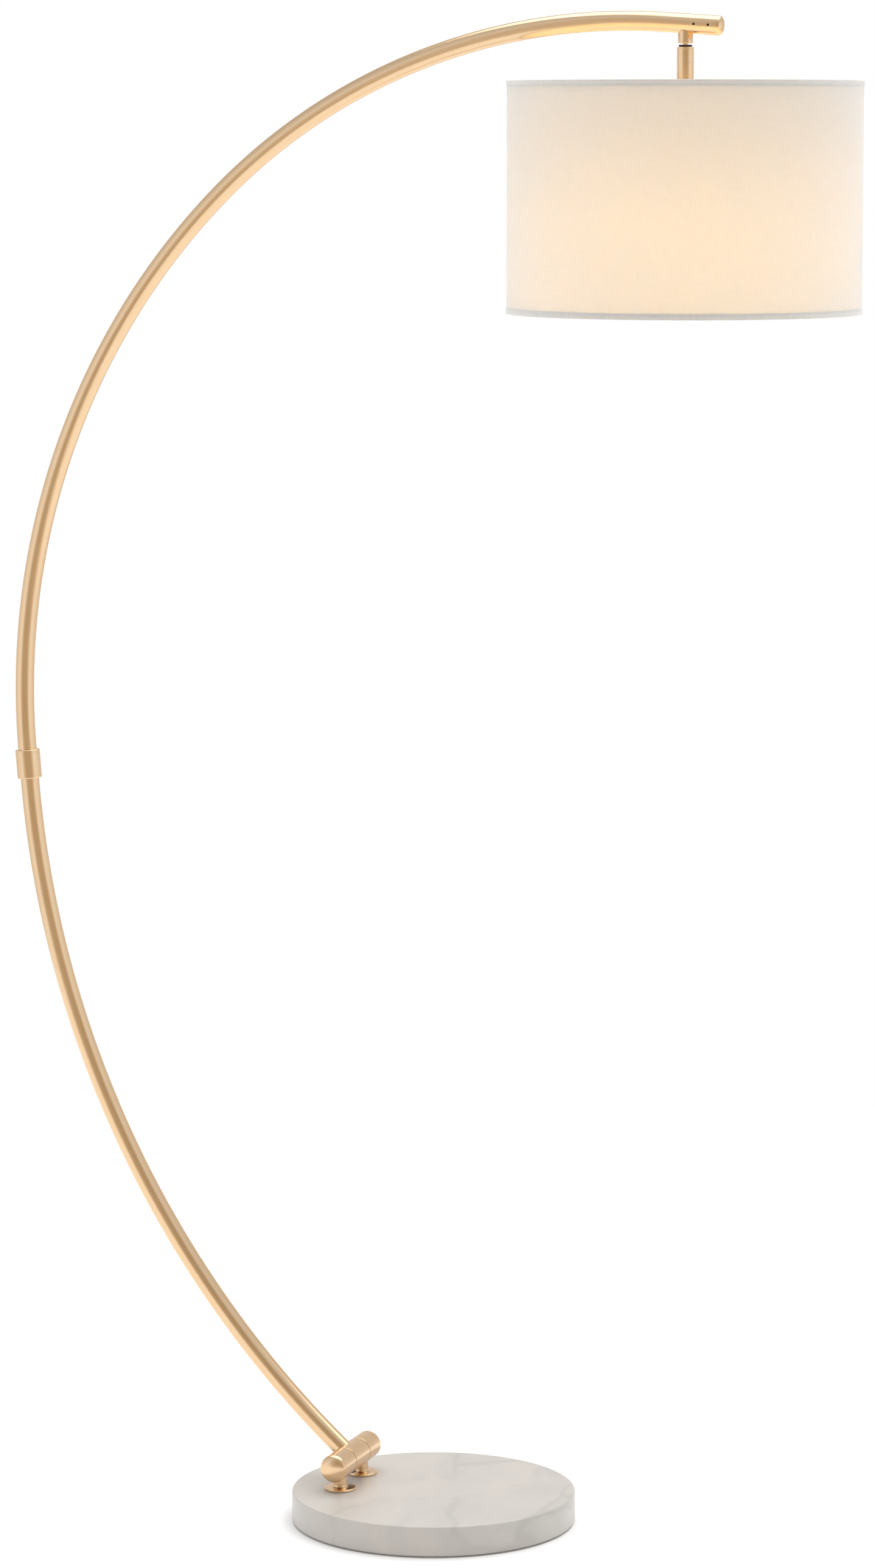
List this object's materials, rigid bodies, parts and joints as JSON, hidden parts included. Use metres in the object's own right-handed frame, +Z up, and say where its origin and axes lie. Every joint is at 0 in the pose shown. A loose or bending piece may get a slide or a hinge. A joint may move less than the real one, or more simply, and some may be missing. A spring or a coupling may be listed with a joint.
{
  "type": "arc floor lamp",
  "caption": "Arc floor lamp: a heavy round base, a friction hinge, a bent two-piece tube arm and a drum shade hung on a ball swivel.",
  "frame": {"origin": "centre of the base's underside, on the floor", "axes": "+Z up; +X from the base towards the hanging shade, in the arm's plane; +Y along the hinge barrel"},
  "size_m": [1.1655, 0.457, 2.0024],
  "materials": {
    "white_marble": "honed, with faint grey veins",
    "grey_felt": "matte",
    "satin_gold_steel": "satin",
    "zinc_steel": "satin",
    "sintered_bronze": "satin",
    "dark_nylon": "matte",
    "black_phenolic": "gloss",
    "cream_linen": "matte",
    "frosted_glass": "satin",
    "clear_pvc": "satin"
  },
  "bodies": {
    "base": {"marble_base": "white_marble", "felt_pad": "grey_felt", "foot_flange_front": "satin_gold_steel", "foot_flange_rear": "satin_gold_steel", "foot_post_front": "satin_gold_steel", "foot_post_rear": "satin_gold_steel", "foot_bolt_front": "zinc_steel", "foot_bolt_rear": "zinc_steel", "foot_washer_front": "zinc_steel", "foot_washer_rear": "zinc_steel", "hinge_knuckle_front": "satin_gold_steel", "hinge_knuckle_rear": "satin_gold_steel", "barrel_cap_front": "satin_gold_steel", "barrel_cap_rear": "satin_gold_steel"},
    "arm": {"hinge_barrel": "satin_gold_steel", "pivot_bolt_front": "zinc_steel", "pivot_bolt_rear": "zinc_steel", "disc_spring_front": "zinc_steel", "disc_spring_rear": "zinc_steel", "friction_washer_front": "sintered_bronze", "friction_washer_rear": "sintered_bronze", "cord_inlet_bush": "dark_nylon", "lower_arm_tube": "satin_gold_steel", "joint_sleeve": "zinc_steel", "joint_collar": "satin_gold_steel", "collar_screw_upper": "zinc_steel", "collar_screw_lower": "zinc_steel", "upper_arm_tube": "satin_gold_steel", "arm_end_cap": "satin_gold_steel", "end_screw_outer": "zinc_steel", "end_screw_inner": "zinc_steel", "hanger_neck": "satin_gold_steel", "ball_retainer": "satin_gold_steel", "arm_lead": "clear_pvc"},
    "swivel": {"swivel_ball": "satin_gold_steel", "swivel_washer": "dark_nylon", "swivel_nut": "zinc_steel"},
    "shade_head": {"stem_top_plug": "satin_gold_steel", "stem_tube": "satin_gold_steel", "stem_bottom_plug": "satin_gold_steel", "stem_lead": "clear_pvc", "holder_nipple": "zinc_steel", "holder_cap": "satin_gold_steel", "holder_body": "black_phenolic", "screw_sleeve": "satin_gold_steel", "centre_contact": "satin_gold_steel", "shade_ring_nut": "black_phenolic", "shade_spider": "zinc_steel", "shade_drum": "cream_linen", "shade_top_hem": "cream_linen", "shade_bottom_hem": "cream_linen", "shade_bottom_wire": "zinc_steel", "bulb_glass": "frosted_glass", "bulb_screw_cap": "zinc_steel"}
  },
  "joints": [
    {"name": "arm_tilt", "type": "hinge", "parent": "base", "child": "arm", "pos_m": [-0.118, 0, 0.076], "axis": [0, 1, 0], "range_deg": [-8, 8]},
    {"name": "shade_tilt", "type": "hinge", "parent": "arm", "child": "swivel", "pos_m": [0.33925, 0, 1.96867], "axis": [0, 1, 0], "range_deg": [-10, 10]},
    {"name": "shade_swivel", "type": "hinge", "parent": "swivel", "child": "shade_head", "pos_m": [0.33925, 0, 1.96867], "axis": [0, 0, 1], "range_deg": [-170, 170]}
  ]
}
